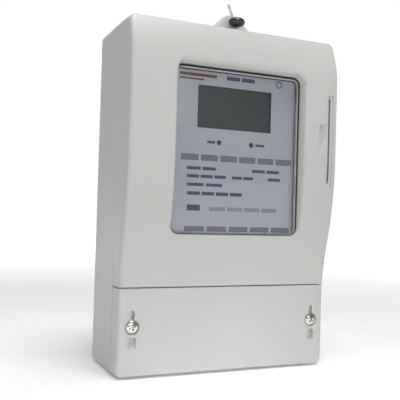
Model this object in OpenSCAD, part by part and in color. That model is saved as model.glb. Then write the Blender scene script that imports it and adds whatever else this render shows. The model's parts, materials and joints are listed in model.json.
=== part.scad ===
// Three-phase prepaid electricity meter for a wall.
// It is laid out from the bottom edge of the case; the wall is the plane Y = 0 and the front faces -Y.
// place() then moves it so that the origin lies on the wall, midway between the two lower fixing holes.

/* [Case] */
// Width of the case
case_w = 140; // [140:0.5:144]
// Height of the case
case_h = 213; // [211:0.5:216]
// Depth of the base, from the wall to the split with the covers
base_d = 43; // [42.5:0.1:43.5]
// Depth from the wall to the face of the terminal cover
lower_d = 56; // [55.8:0.1:57]
// How far the front cover stands forward of the terminal cover
bulge = 12.1; // [11.6:0.1:13]
// Wall thickness of the mouldings
wall = 2.5; // [2.3:0.1:2.6]
// Height of the seam between the two covers
seam_z = 53; // [52.8:0.1:53.2]
// Width of the seam between the two covers
seam_gap = 0.8; // [0.5:0.1:0.9]
// Radius of the case corners, seen from the front
corner_r = 4; // [3:0.5:5]

/* [Window] */
// Width of the window opening
window_w = 86; // [82:1:87]
// Height of the window opening
window_h = 101; // [96:1:102]
// Sideways place of the window's middle
window_x = 1.5; // [1:0.1:2]
// Height of the window's middle
window_z = 135.5; // [135:0.1:136]
// Width of the display opening in the nameplate
display_w = 50.8; // [46:0.2:51]
// Height of the display opening in the nameplate
display_h = 26; // [22:0.5:27]

/* [Card] */
// Length of the card slot
slot_h = 54.5; // [54.2:0.1:56]
// Width of the card slot
slot_w = 1.3; // [1:0.1:1.5]
// Sideways place of the card slot
slot_x = 63.9; // [63.5:0.1:64]

/* [Fixings] */
// Radius of the three holes that take the wall screws
fixing_r = 2.75; // [2.25:0.05:2.9]
// Height of the two lower fixing holes above the bottom edge
fixing_z = 12; // [11:0.5:13]
// Sideways place of the lower fixing holes and the sealing screws
side_x = 61; // [60.5:0.1:61.5]
// Height of the sealing screws above the bottom edge
seal_z = 30; // [29:0.5:31]
// How far the hanger slides up out of the base
hanger_travel = 26; // [20:1:28]

/* [Terminals] */
// Spacing of the main terminals
terminal_pitch = 13; // [12.8:0.1:13.2]
// Radius of the wire bore in a main terminal
wire_r = 4.2; // [3:0.1:4.3]

/* [Hidden] */
$fn = 48;
eps = 1;
far_y = -80;
half_w = case_w / 2;
cover_z = seam_z + seam_gap / 2;
tray_z = seam_z - seam_gap / 2;

// Side profile of the front cover: a hollow foot, a convex shoulder, a flat and a brow that leans back
foot_h = 27;
foot_slope = 0.14;
flank_slope = 0.245;
foot_rise = foot_h * (foot_slope + flank_slope) / 2;
shoulder_r = 2 * (bulge - foot_rise) / (flank_slope * flank_slope);
flat_z = seam_z + foot_h + flank_slope * shoulder_r;
brow_z = case_h - 31;
brow_r = 60;
top_drop = 1;
profile_step = 4;

// Depth layers inside the case, measured from the wall
split_y = -base_d;
floor_y = -wall - 0.5;
ledge_y = -58.5;
lens_back_y = -60;
lens_front_y = -61.6;
nameplate_y = -58.3;
nameplate_t = 0.6;
dial_t = 1.8;
glass_front_y = -55.8;
glass_back_y = -53;
ledge = 1.6;
main_board_y = -49;
power_board_y = -9.6;
board_t = 1.6;
screw_clear = 0.02;

// Terminal chamber
terminal_count = 8;
terminal_half = 5;
terminal_front = -26;
terminal_back = -12;
terminal_low = 10.5;
terminal_high = 36;
wire_bore_y = -18.6;
clamp_z = [18, 29];
aux_count = 6;
aux_pitch = 6;
aux_z = 48;
block_top = 42;
block_front = -35;
shelf_z = 51;
busbar_y = -20;
busbar_t = 1.5;
busbar_w = 8;
cable_half = 54;
cable_back = -6;
cover_screw_x = 54.5;
cover_screw_z = 47.2;
block_screw_x = 26;
block_screw_z = 39;

// Terminal cover and its sealing screws
tray_wall = 2.2;
tray_face_y = -53.8;
tray_lip_y = -46.5;
head_seat_y = -53;
washer_y = -49;
washer_t = 0.8;
seal_shank_r = 2;
seal_neck_r = 1.6;
post_end = -47.6;
insert_r = 3;
insert_l = 8;

// Card slot, the recess around it with its thumb relief, and the reader behind it
slot_z = 146.5;
recess_depth = 0.6;
recess_low = 117.4;
recess_high = 175.6;
relief_low = 135.7;
relief_high = 157.1;
reader_left = 60.4;
reader_right = 65.8;
reader_front = -64;
reader_back = -14;
reader_low = 114;
reader_high = 179;
contact_x = slot_x - slot_w / 2 - 0.6;

// Hanger and its guide
hanger_w = 26;
hanger_t = 2.4;
hanger_l = 56;
hanger_gap = 0.3;
guide_lip = 1.2;
hanger_neck = 20;
hanger_top = case_h - 1.5;
hanger_hole_z = hanger_top - 9;
stop_r = 1.5;
stop_z = case_h - 23;
guide_z = case_h - 60;

// Sealing lugs on the top edge
lug_hole_z = case_h + 4.8;
lug_hole_r = 0.75;
lug_hole_x = 2.5;
lug_centre_x = 1.2;
bead_y = -55.4;
bead_r = 5.2;
bead_h = 5.7;
seal_wire_r = 0.6;
seal_tail_r = 0.8;

// Middle positions of the display and of the two lamps in the dial
display_x = 0.6;
display_z = 162.5;
lamp_z = 141.1;
alarm_x = -9.9;
pulse_x = 12.3;
lamp_r = 1.5;

// Screw positions of the two boards
main_screws = [[-60, 64], [54, 64], [-60, 202], [52, 202]];
power_screws = [[-49.5, 111.5], [42, 111.5], [-49.5, 200], [42, 200]];

function terminal_x(i) = (i - (terminal_count - 1) / 2) * terminal_pitch;
function aux_x(i) = (i - (aux_count - 1) / 2) * aux_pitch;
function foot(t) = t * (2 * foot_slope + t / foot_h * (flank_slope - foot_slope)) / 2;
function rise(z) =
    z < seam_z ? 0 :
    z < seam_z + foot_h ? foot(z - seam_z) :
    z < flat_z ? bulge - pow(flat_z - z, 2) / (2 * shoulder_r) :
    z < brow_z ? bulge : bulge - pow(z - brow_z, 2) / (2 * brow_r);
function front_y(z) = -lower_d - rise(z);
function corner(x, z, r, a) = [for (i = [0:6]) [x + r * cos(a + 15 * i), z + r * sin(a + 15 * i)]];
function outline(x0, z0, x1, z1, r) = concat(
    corner(x1 - r, z1 - r, r, 0), corner(x0 + r, z1 - r, r, 90),
    corner(x0 + r, z0 + r, r, 180), corner(x1 - r, z0 + r, r, 270));

// Moves the layout to the origin of the part
module place() {
    translate([0, 0, -fixing_z]) children();
}

// Box between two opposite corners
module box(low, high) {
    translate(low) cube(high - low);
}

// Outline in the XZ plane, from depth y0 to depth y1
module slab(points, y0, y1) {
    translate([0, y1, 0]) rotate([90, 0, 0]) linear_extrude(y1 - y0) polygon(points);
}

// Outline in the YZ plane, from x0 to x1
module prism(points, x0, x1) {
    translate([x0, 0, 0]) rotate([90, 0, 90]) linear_extrude(x1 - x0) polygon(points);
}

// Round bar along Y
module rod(r, y0, y1, x = 0, z = 0) {
    translate([x, y1, z]) rotate([90, 0, 0]) cylinder(h = y1 - y0, r = r);
}

// Round bar along Z
module column(r, z0, z1, x = 0, y = 0) {
    translate([x, y, z0]) cylinder(h = z1 - z0, r = r);
}

// Puts its child at the left and the right of the case
module pair(x) {
    for (side = [-1, 1]) translate([side * x, 0, 0]) children();
}

// Screw along Y with a round head, driven from the front; y is the plane under the head
module screw(y, head_r, head_h, shank_r, shank_l, slot = 0.8) {
    difference() {
        union() {
            rod(head_r, y - head_h, y);
            rod(shank_r, y - 0.1, y + shank_l);
        }
        box([-head_r - eps, y - head_h - eps, -slot / 2], [head_r + eps, y - head_h * 0.5, slot / 2]);
        box([-slot / 2, y - head_h - eps, -head_r - eps], [slot / 2, y - head_h * 0.5, head_r + eps]);
    }
}

// Printed circuit board with one hole for each screw
module board(x0, z0, x1, z1, y, screws) {
    difference() {
        box([x0, y, z0], [x1, y + board_t, z1]);
        for (s = screws) rod(1.7, y - eps, y + board_t + eps, s[0], s[1]);
    }
}

// Trapezoid lug with a cut-off top, standing on the top edge of the case
module lug(half_foot, half_tip, height, y0, y1, sunk) {
    low = case_h - sunk;
    edge = case_h + height - 1.2;
    top = case_h + height;
    slab([
        [-half_foot, low], [half_foot, low], [half_foot, case_h], [half_tip + 1.5, edge], [half_tip - 1, top],
        [1 - half_tip, top], [-half_tip - 1.5, edge], [-half_foot, case_h]
    ], y0, y1);
}

// The two holes that the sealing wire runs through
module lug_holes(y0, y1) {
    for (side = [-1, 1]) rod(lug_hole_r, y0, y1, lug_centre_x + side * lug_hole_x, lug_hole_z);
}

module base_shell() {
    slab(outline(-half_w, 0, half_w, case_h, corner_r), split_y, 0);
}

module base_bosses() {
    pair(side_x) rod(4.5, post_end, -wall, 0, seal_z);
    pair(cover_screw_x) rod(3.5, split_y, -wall, 0, cover_screw_z);
    for (s = main_screws) rod(4, main_board_y + board_t, -wall, s[0], s[1]);
    for (s = power_screws) rod(3.5, power_board_y + board_t, -wall, s[0], s[1]);
    box([-half_w + wall, split_y, shelf_z], [half_w - wall, -wall, shelf_z + wall]);
    box([-hanger_w / 2 - 3, -6.5, guide_z - 3], [hanger_w / 2 + 3, -wall, case_h - wall]);
    lug(6, 3, 7.5, split_y, split_y + 3, wall);
}

module hanger_guide() {
    inner = hanger_w / 2 + hanger_gap;
    neck = hanger_neck / 2 + hanger_gap;
    box([-inner, -guide_lip - hanger_t - 2 * hanger_gap, guide_z], [inner, -guide_lip, case_h + eps]);
    box([-neck, -guide_lip - eps, guide_z], [neck, eps, case_h + eps]);
}

module base() place() color([0.8, 0.8, 0.79]) {
    inner = half_w - wall;
    slot_front = busbar_y - busbar_t - 0.5;
    difference() {
        union() {
            difference() {
                base_shell();
                slab(outline(-inner, wall, inner, case_h - wall, corner_r - 1.5), split_y - eps, floor_y);
            }
            base_bosses();
        }
        hanger_guide();
        box([-cable_half, split_y - eps, -eps], [cable_half, cable_back, wall + eps]);
        for (i = [0:terminal_count - 1]) translate([terminal_x(i), 0, shelf_z])
            box([-4.5, slot_front, -eps], [4.5, busbar_y + 0.5, wall + eps]);
        pair(side_x) rod(fixing_r, floor_y - eps, eps, 0, fixing_z);
        pair(side_x) rod(insert_r, post_end - eps, post_end + insert_l, 0, seal_z);
        pair(side_x) rod(seal_shank_r + 0.4, post_end, post_end + 14, 0, seal_z);
        pair(cover_screw_x) rod(1.5 + screw_clear, split_y - eps, split_y + 12, 0, cover_screw_z);
        pair(block_screw_x) rod(1.5 + screw_clear, floor_y - eps, -0.6, 0, block_screw_z);
        for (s = main_screws) rod(1.5 + screw_clear, main_board_y, main_board_y + 12, s[0], s[1]);
        for (s = power_screws) rod(1.5 + screw_clear, power_board_y, -1.2, s[0], s[1]);
        lug_holes(split_y - eps, split_y + 4);
    }
    rod(stop_r, -5, -guide_lip - 0.5, 0, stop_z);
}

// Solid between the split and the curved front, set in by t from the outer surface
module front_body(t) {
    bottom = cover_z + t;
    top = case_h - t;
    steps = floor((top - bottom) / profile_step);
    front = [for (i = [0:steps]) [front_y(bottom + i * profile_step) + t, bottom + i * profile_step]];
    back_y = split_y + (t > 0 ? eps : 0);
    brow = [front_y(top - top_drop) + t, top - top_drop];
    prism(concat([[back_y, bottom]], front, [brow, [back_y, top]]), -half_w + t, half_w - t);
}

module window_outline(grow, y0, y1) {
    w = window_w / 2 + grow;
    h = window_h / 2 + grow;
    slab(outline(window_x - w, window_z - h, window_x + w, window_z + h, 5 + grow), y0, y1);
}

module cover_tab() {
    box([-4.5, split_y - wall, cover_screw_z - 5.5], [4.5, split_y, cover_z + wall]);
}

module card_slot(y0, y1) {
    w = slot_w / 2;
    h = slot_h / 2;
    box([slot_x - w, y0, slot_z - h], [slot_x + w, y1, slot_z + h]);
}

// Takes a layer of even depth off the curved front around the slot and on the thumb relief at its left
module card_recess() {
    difference() {
        union() {
            box([slot_x - 1.8, far_y, recess_low], [slot_x + 3.4, split_y, recess_high]);
            box([slot_x - 7.4, far_y, relief_low], [slot_x - 1, split_y, relief_high]);
        }
        translate([0, recess_depth, 0]) front_body(0);
    }
}

module front_cover() place() color([0.82, 0.82, 0.81]) {
    difference() {
        union() {
            difference() {
                intersection() {
                    front_body(0);
                    slab(outline(-half_w, 0, half_w, case_h, corner_r), far_y, split_y);
                }
                front_body(wall);
            }
            intersection() {
                window_outline(2, far_y, ledge_y);
                front_body(0);
            }
            pair(cover_screw_x) cover_tab();
            lug(15.5, 3.5, 10.4, -50, -47, wall + top_drop);
        }
        window_outline(0, far_y, lens_back_y);
        window_outline(-ledge, far_y, ledge_y + eps);
        card_recess();
        card_slot(far_y, -60);
        pair(cover_screw_x) rod(1.8, split_y - wall - eps, split_y + eps, 0, cover_screw_z);
        lug_holes(-51, -46);
    }
}

// Boss behind a sealing screw, on the back of the terminal cover's face
module seal_boss() {
    box([-5.6, tray_face_y, 14], [5.6, tray_face_y + 2.6, 42]);
    rod(6.2, tray_face_y, washer_y, 0, seal_z);
}

// Hole for a sealing screw, with a slit above it and a sloping pocket below it
module seal_recess() {
    front = -lower_d - eps;
    deep = -52.4;
    pocket = seal_z - 6.2;
    rod(4.8, front, head_seat_y, 0, seal_z);
    rod(seal_shank_r + 0.3, head_seat_y - eps, washer_y + eps, 0, seal_z);
    box([-0.9, front, seal_z + 3], [0.9, deep, seal_z + 9.2]);
    prism([
        [front, pocket - 6.5], [-lower_d, pocket - 6.5], [deep, pocket - 0.8], [deep, pocket], [front, pocket]
    ], -2.2, 2.2);
}

module terminal_cover() place() color([0.81, 0.81, 0.8]) {
    back = split_y - 0.3;
    inner = half_w - tray_wall;
    low = top_drop + tray_wall;
    side = [[back, 0], [-lower_d, top_drop], [-lower_d, tray_z], [back, tray_z]];
    difference() {
        union() {
            difference() {
                intersection() {
                    prism(side, -half_w, half_w);
                    slab(outline(-half_w, 0, half_w, case_h, corner_r), -lower_d - eps, split_y);
                }
                box([-inner, tray_face_y, low], [inner, back + eps, tray_z - tray_wall]);
                box([-inner, tray_lip_y, low], [inner, back + eps, tray_z + eps]);
            }
            pair(side_x) seal_boss();
        }
        pair(side_x) seal_recess();
    }
}

module window_lens() place() color([0.85, 0.9, 0.92, 0.35]) {
    window_outline(-0.1, lens_front_y, lens_back_y);
}

module cover_gasket() place() color([0.16, 0.16, 0.17]) {
    w = half_w - wall;
    z0 = cover_z + wall;
    z1 = case_h - wall - 0.3;
    difference() {
        slab(outline(-w, z0, w, z1, corner_r - 1.5), split_y - 1.6, split_y + 0.8);
        slab(outline(-w + 1.5, z0 + 1.5, w - 1.5, z1 - 1.5, 1), split_y - 3, split_y + 2);
    }
}

module seal_bead() place() color([0.08, 0.09, 0.09]) {
    edge = 2.2;
    half_h = bead_h / 2;
    upper = [for (a = [0:15:90]) [bead_r - edge + edge * cos(a), half_h - edge + edge * sin(a)]];
    lower = [for (a = [-90:15:0]) [bead_r - edge + edge * cos(a), edge - half_h + edge * sin(a)]];
    translate([lug_centre_x, bead_y, lug_hole_z])
        rotate_extrude() polygon(concat([[0, -half_h]], lower, upper, [[0, half_h]]));
}

module seal_wire() place() color([0.62, 0.62, 0.6]) {
    back_y = -38;
    for (side = [-1, 1])
        rod(seal_wire_r, bead_y + 1, back_y, lug_centre_x + side * lug_hole_x, lug_hole_z);
    translate([lug_centre_x, back_y, lug_hole_z])
        rotate_extrude(angle = 180) translate([lug_hole_x, 0]) circle(r = seal_wire_r);
    translate([lug_centre_x - 2.6, bead_y, lug_hole_z + 1])
        rotate([0, -24, 0]) cylinder(h = 10.5, r = seal_tail_r);
}

// Sealing screw: domed head with a cross recess, a neck for the captive washer and a threaded end
module seal_screw() {
    head_y = head_seat_y - 0.1;
    head_r = 4;
    head_h = 3.4;
    dome_r = 6.5;
    cross = 2.4;
    cross_y = -54.9;
    difference() {
        union() {
            intersection() {
                rod(head_r, -lower_d - eps, head_y);
                translate([0, head_y - head_h + dome_r, 0]) sphere(r = dome_r);
            }
            rod(seal_shank_r, head_y - 0.1, -50);
            rod(seal_neck_r, -50.1, -46.9);
            rod(seal_shank_r, -47, -40.5);
        }
        box([-cross, far_y, -0.45], [cross, cross_y, 0.45]);
        box([-0.45, far_y, -cross], [0.45, cross_y, cross]);
    }
}

module seal_screw_left() place() color([0.78, 0.77, 0.75]) {
    translate([-side_x, 0, seal_z]) seal_screw();
}

module seal_screw_right() place() color([0.78, 0.77, 0.75]) {
    translate([side_x, 0, seal_z]) seal_screw();
}

module captive_washers() place() color([0.75, 0.75, 0.75]) {
    pair(side_x) difference() {
        rod(3.6, washer_y, washer_y + washer_t, 0, seal_z);
        rod(seal_neck_r + 0.3, washer_y - eps, washer_y + washer_t + eps, 0, seal_z);
    }
}

module seal_screw_inserts() place() color([0.8, 0.65, 0.3]) {
    pair(side_x) difference() {
        rod(insert_r, post_end, post_end + insert_l, 0, seal_z);
        rod(seal_shank_r + 0.05, post_end - eps, post_end + insert_l + eps, 0, seal_z);
    }
}

module hanger() place() color([0.7, 0.71, 0.72]) {
    y1 = -guide_lip - hanger_gap;
    y0 = y1 - hanger_t;
    bottom = hanger_top - hanger_l;
    shoulder = hanger_top - 20;
    half = hanger_w / 2;
    slot = stop_r + hanger_gap;
    difference() {
        slab([
            [-half, bottom], [half, bottom], [half, shoulder], [7, hanger_top - 4], [3, hanger_top],
            [-3, hanger_top], [-7, hanger_top - 4], [-half, shoulder]
        ], y0, y1);
        rod(fixing_r, y0 - eps, y1 + eps, 0, hanger_hole_z);
        box([-slot, y0 - eps, stop_z - hanger_travel - slot], [slot, y1 + eps, stop_z + slot]);
    }
}

// Block in line with the display opening, larger than it by the margin on every side
module display_block(margin, y0, y1) {
    w = display_w / 2 + margin;
    h = display_h / 2 + margin;
    box([display_x - w, y0, display_z - h], [display_x + w, y1, display_z + h]);
}

module lamp_holes(y0, y1) {
    for (x = [alarm_x, pulse_x]) rod(lamp_r + 0.1, y0, y1, x, lamp_z);
}

module nameplate() place() color([0.62, 0.65, 0.72]) {
    w = window_w / 2 + 4;
    h = window_h / 2 + 1;
    y1 = nameplate_y + nameplate_t;
    difference() {
        slab(outline(window_x - w, window_z - h, window_x + w, window_z + h, 3), nameplate_y, y1);
        display_block(0, nameplate_y - eps, y1 + eps);
        lamp_holes(nameplate_y - eps, y1 + eps);
    }
}

module dial_frame() place() color([0.2, 0.2, 0.21]) {
    w = window_w / 2 + 3.5;
    h = window_h / 2;
    y0 = nameplate_y + nameplate_t;
    y1 = y0 + dial_t;
    difference() {
        box([window_x - w, y0, window_z - h], [window_x + w, y1, window_z + h]);
        display_block(0, y0 - eps, y1 + eps);
        lamp_holes(y0 - eps, y1 + eps);
    }
    for (x = [3 - w, w - 3], z = [3 - h, h - 3])
        rod(2.5, y1, main_board_y, window_x + x, window_z + z);
}

module display_glass() place() color([0.24, 0.28, 0.27]) {
    display_block(4, glass_front_y, glass_back_y);
}

module display_bezel() place() color([0.13, 0.13, 0.14]) {
    difference() {
        display_block(6, glass_front_y, main_board_y);
        display_block(4, glass_front_y - eps, main_board_y + eps);
    }
}

module display_backlight() place() color([0.9, 0.92, 0.88]) {
    display_block(4, glass_back_y, main_board_y);
}

// Indicator lamp standing on the main board
module lamp(x) {
    tip_y = nameplate_y + lamp_r - 0.4;
    rod(lamp_r, tip_y, main_board_y, x, lamp_z);
    intersection() {
        translate([x, tip_y, lamp_z]) sphere(r = lamp_r);
        rod(lamp_r + eps, tip_y - 3, tip_y, x, lamp_z);
    }
}

module alarm_lamp() place() color([0.75, 0.2, 0.15]) lamp(alarm_x);

module pulse_lamp() place() color([0.75, 0.2, 0.15]) lamp(pulse_x);

module main_board() place() color([0.1, 0.35, 0.2]) {
    board(-65, 59, 58, 207, main_board_y, main_screws);
}

module main_board_screws() place() color([0.7, 0.7, 0.68]) {
    for (s = main_screws) translate([s[0], 0, s[1]]) screw(main_board_y, 2.8, 2, 1.5, 9);
}

module power_board() place() color([0.12, 0.36, 0.2]) {
    board(-53, 65, 47, 205, power_board_y, power_screws);
}

module power_board_screws() place() color([0.7, 0.7, 0.68]) {
    for (s = power_screws) translate([s[0], 0, s[1]]) screw(power_board_y, 2.8, 2, 1.5, 6);
}

// Chip on a board: y is the board's face, dir is the way the chip stands
module chip(x, z, w, h, y, dir, t = 1.6) {
    box([x - w / 2, min(y, y + dir * t), z - h / 2], [x + w / 2, max(y, y + dir * t), z + h / 2]);
}

module microcontroller() place() color([0.1, 0.1, 0.1]) {
    chip(2, 108, 14, 14, main_board_y + board_t, 1);
}

module metering_chip() place() color([0.1, 0.1, 0.1]) {
    chip(26, 118, 10, 16, power_board_y, -1, 2);
}

module logic_chips() place() color([0.11, 0.11, 0.11]) {
    for (x = [-38, -22], z = [118, 134]) chip(x, z, 6, 9, main_board_y + board_t, 1);
}

module clock_crystal() place() color([0.75, 0.75, 0.76]) {
    chip(20, 106, 11, 4.6, main_board_y + board_t, 1, 3.5);
}

module transformer_core() place() color([0.3, 0.3, 0.31]) {
    difference() {
        box([-44, -37.6, 146], [-2, power_board_y, 182]);
        box([-38, -39, 152], [-28, -8, 176]);
        box([-18, -39, 152], [-8, -8, 176]);
    }
}

module transformer_winding() place() color([0.75, 0.6, 0.15]) {
    difference() {
        box([-38, -34, 152], [-8, -14, 176]);
        box([-28, -35, 151], [-18, -13, 177]);
    }
}

module reservoir_capacitors() place() color([0.12, 0.13, 0.2]) {
    for (x = [8, 22, 36]) rod(6, -31, power_board_y, x, 182);
}

module varistors() place() color([0.2, 0.35, 0.7]) {
    for (i = [0:2]) box([-46 + 12 * i, -22, 116], [-42.5 + 12 * i, power_board_y, 129]);
}

module optocouplers() place() color([0.92, 0.92, 0.9]) {
    for (i = [0:2]) chip(6 + 12 * i, 144, 6.5, 4.6, power_board_y, -1, 3.5);
}

module cell_holder() place() color([0.14, 0.14, 0.15]) {
    y0 = main_board_y + board_t;
    difference() {
        box([-56, y0, 72], [-20, y0 + 11, 90]);
        box([-54, y0 + 1.5, 73.5], [-22, y0 + 12, 88.5]);
    }
}

module lithium_cell() place() color([0.25, 0.5, 0.3]) {
    translate([-51, -38.7, 81]) rotate([0, 90, 0]) cylinder(h = 25, r = 7);
}

module buzzer() place() color([0.08, 0.08, 0.08]) {
    y0 = main_board_y + board_t;
    difference() {
        rod(6, y0, y0 + 8.5, 36, 82);
        rod(1, y0 + 7, y0 + 9, 36, 82);
    }
}

module ribbon_cable() place() color([0.6, 0.6, 0.62]) {
    box([-12, -43.4, 127.4], [12, -13.6, 128.6]);
}

module ribbon_sockets() place() color([0.9, 0.9, 0.86]) {
    box([-13.5, main_board_y + board_t, 125], [13.5, -43.4, 131]);
    box([-13.5, -13.6, 125], [13.5, power_board_y, 131]);
}

// Flat box with a slot as deep as a card goes in, mouth towards the front, on two feet
module card_reader() place() color([0.15, 0.15, 0.16]) {
    foot = 6;
    difference() {
        union() {
            box([reader_left, reader_front, reader_low], [reader_right, reader_back, reader_high]);
            for (z = [reader_low + 2, reader_high - 2 - foot])
                box([reader_left + 0.6, reader_back - eps, z], [reader_right - 0.6, floor_y, z + foot]);
        }
        card_slot(reader_front - eps, -18);
        box([reader_left - eps, -40, slot_z - 6.5], [contact_x, -28, slot_z + 9.5]);
    }
}

module card_contacts() place() color([0.85, 0.7, 0.3]) {
    for (i = [0:3], y = [-37.5, -32.5]) translate([0, y, slot_z - 4.5 + 3.2 * i])
        box([reader_left + 0.2, 0, 0], [contact_x, 2, 1.4]);
}

module card_switch() place() color([0.1, 0.1, 0.1]) {
    box([reader_left + 0.2, reader_back, slot_z - 4.5], [reader_right - 0.2, -8.5, slot_z + 7.5]);
}

module latching_relays() place() color([0.12, 0.14, 0.2]) {
    for (i = [0:2]) box([terminal_x(2 * i) - 4, -30, 68], [terminal_x(2 * i + 1) + 4, power_board_y, 106]);
}

module current_transformers() place() color([0.15, 0.2, 0.45]) {
    y = busbar_y - busbar_t / 2;
    low = shelf_z + wall;
    high = low + 9;
    for (i = [0:2]) difference() {
        column(8, low, high, terminal_x(2 * i), y);
        column(4.4, low - eps, high + eps, terminal_x(2 * i), y);
    }
}

module busbars() place() color([0.78, 0.5, 0.3]) {
    half = busbar_w / 2;
    front = busbar_y - busbar_t;
    for (i = [0:5])
        box([terminal_x(i) - half, front, terminal_high], [terminal_x(i) + half, busbar_y, 68]);
    for (i = [6, 7])
        box([terminal_x(i) - half, front, terminal_high], [terminal_x(i) + half, busbar_y, 58]);
    box([terminal_x(6) - half, front, 58], [terminal_x(7) + half, busbar_y, 64]);
}

module terminal_body() {
    box([-terminal_half, terminal_front, terminal_low], [terminal_half, terminal_back, terminal_high]);
}

module terminal_block() place() color([0.16, 0.16, 0.17]) {
    difference() {
        box([-55, block_front, 9], [55, floor_y, block_top]);
        for (i = [0:terminal_count - 1]) translate([terminal_x(i), 0, 0]) {
            terminal_body();
            column(wire_r + 0.2, 8, 11, 0, wire_bore_y);
            box([-4.1, busbar_y - busbar_t - 0.1, terminal_high - 1], [4.1, busbar_y + 0.1, block_top + eps]);
            for (z = clamp_z) rod(3.7, block_front - eps, terminal_front + 0.5, 0, z);
        }
        pair(block_screw_x) rod(1.6, block_front - eps, 0, 0, block_screw_z);
        pair(block_screw_x) rod(2.6, block_front - eps, -31, 0, block_screw_z);
    }
}

module main_terminals() place() color([0.8, 0.66, 0.32]) {
    for (i = [0:terminal_count - 1]) translate([terminal_x(i), 0, 0]) difference() {
        terminal_body();
        column(wire_r, terminal_low - eps, 34, 0, wire_bore_y);
        for (z = clamp_z) rod(2.5 + screw_clear, terminal_front - eps, -19, 0, z);
    }
}

module main_terminal_screws() place() color([0.76, 0.75, 0.72]) {
    for (i = [0:terminal_count - 1], z = clamp_z)
        translate([terminal_x(i), 0, z]) screw(-29, 3.4, 3, 2.5, 6, 1.1);
}

module auxiliary_terminal_block() place() color([0.2, 0.4, 0.25]) {
    front = block_front - 1;
    difference() {
        box([-18.5, front, block_top], [18.5, -23, shelf_z - 0.5]);
        for (i = [0:aux_count - 1]) translate([aux_x(i), 0, 0]) {
            rod(1.9, front - eps, -27, 0, aux_z);
            box([-1.5, front - eps, aux_z - 5.2], [1.5, -26, aux_z - 2.4]);
        }
    }
}

module auxiliary_terminal_screws() place() color([0.76, 0.75, 0.72]) {
    for (i = [0:aux_count - 1]) translate([aux_x(i), 0, aux_z]) screw(-31, 1.8, 1.4, 1.2, 4, 0.6);
}

module terminal_block_screws() place() color([0.76, 0.75, 0.72]) {
    pair(block_screw_x) translate([0, 0, block_screw_z]) screw(-31, 2.5, 2, 1.5, 30, 0.8);
}

module front_cover_screws() place() color([0.76, 0.75, 0.72]) {
    pair(cover_screw_x) translate([0, 0, cover_screw_z]) screw(split_y - wall, 2.8, 2, 1.5, 13, 0.8);
}

module wiring_label() place() color([0.9, 0.9, 0.88]) {
    box([-50, tray_face_y, 8], [50, tray_face_y + 0.2, 46]);
}

base();
front_cover();
terminal_cover();
window_lens();
cover_gasket();
seal_bead();
seal_wire();
seal_screw_left();
seal_screw_right();
captive_washers();
seal_screw_inserts();
hanger();
nameplate();
dial_frame();
display_glass();
display_bezel();
display_backlight();
alarm_lamp();
pulse_lamp();
main_board();
main_board_screws();
power_board();
power_board_screws();
microcontroller();
metering_chip();
logic_chips();
clock_crystal();
transformer_core();
transformer_winding();
reservoir_capacitors();
varistors();
optocouplers();
lithium_cell();
cell_holder();
buzzer();
ribbon_cable();
ribbon_sockets();
card_reader();
card_contacts();
card_switch();
latching_relays();
current_transformers();
busbars();
terminal_block();
main_terminals();
main_terminal_screws();
auxiliary_terminal_block();
auxiliary_terminal_screws();
terminal_block_screws();
front_cover_screws();
wiring_label();
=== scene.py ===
import json
import math

import bmesh
import bpy
import numpy as np
from mathutils import Matrix, Vector
from mathutils.geometry import delaunay_2d_cdt


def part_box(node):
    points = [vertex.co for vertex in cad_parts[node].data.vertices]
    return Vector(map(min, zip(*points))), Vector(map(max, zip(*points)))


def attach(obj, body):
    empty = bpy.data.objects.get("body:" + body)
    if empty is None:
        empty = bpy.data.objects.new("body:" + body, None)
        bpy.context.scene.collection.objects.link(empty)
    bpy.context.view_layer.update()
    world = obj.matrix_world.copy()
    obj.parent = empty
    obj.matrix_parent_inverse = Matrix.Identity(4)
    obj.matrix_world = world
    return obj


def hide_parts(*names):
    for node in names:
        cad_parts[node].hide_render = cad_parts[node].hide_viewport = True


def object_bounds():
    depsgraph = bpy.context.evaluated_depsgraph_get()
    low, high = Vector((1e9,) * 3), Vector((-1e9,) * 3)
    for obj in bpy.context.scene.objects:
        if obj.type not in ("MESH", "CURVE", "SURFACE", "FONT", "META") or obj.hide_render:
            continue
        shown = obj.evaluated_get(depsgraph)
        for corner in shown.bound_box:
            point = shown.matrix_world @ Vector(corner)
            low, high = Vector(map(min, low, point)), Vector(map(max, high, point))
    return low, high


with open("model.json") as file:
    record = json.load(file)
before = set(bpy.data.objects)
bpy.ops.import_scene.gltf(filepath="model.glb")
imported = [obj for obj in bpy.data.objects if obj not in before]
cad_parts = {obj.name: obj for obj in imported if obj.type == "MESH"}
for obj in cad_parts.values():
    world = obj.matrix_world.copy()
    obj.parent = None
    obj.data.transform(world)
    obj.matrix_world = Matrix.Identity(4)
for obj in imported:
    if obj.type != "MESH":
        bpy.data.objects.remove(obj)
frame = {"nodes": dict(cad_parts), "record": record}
cad_low, cad_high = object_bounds()

# ---------------------------------------------------------------- measures
# Layout in millimetres: X and Y as in the row frame, Z from the bottom edge of the case.
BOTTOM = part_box("terminal_cover")[0].z * 1000


def mm(node):
    """Lowest and highest corner of a node in the layout."""
    low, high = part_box(node)
    up = Vector((0, 0, BOTTOM))
    return low * 1000 - up, high * 1000 - up


def co(x, y, z):
    """A layout point in the row frame's metres."""
    return Vector((x, y, z + BOTTOM)) * 0.001


tray_low, tray_high = mm("terminal_cover")
shell_low, shell_high = mm("front_cover")
lens_low, lens_high = mm("window_lens")
plate_low = mm("nameplate")[0]
screw_low, screw_high = mm("seal_screw_right")
bead_low, bead_high = mm("seal_bead")
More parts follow.
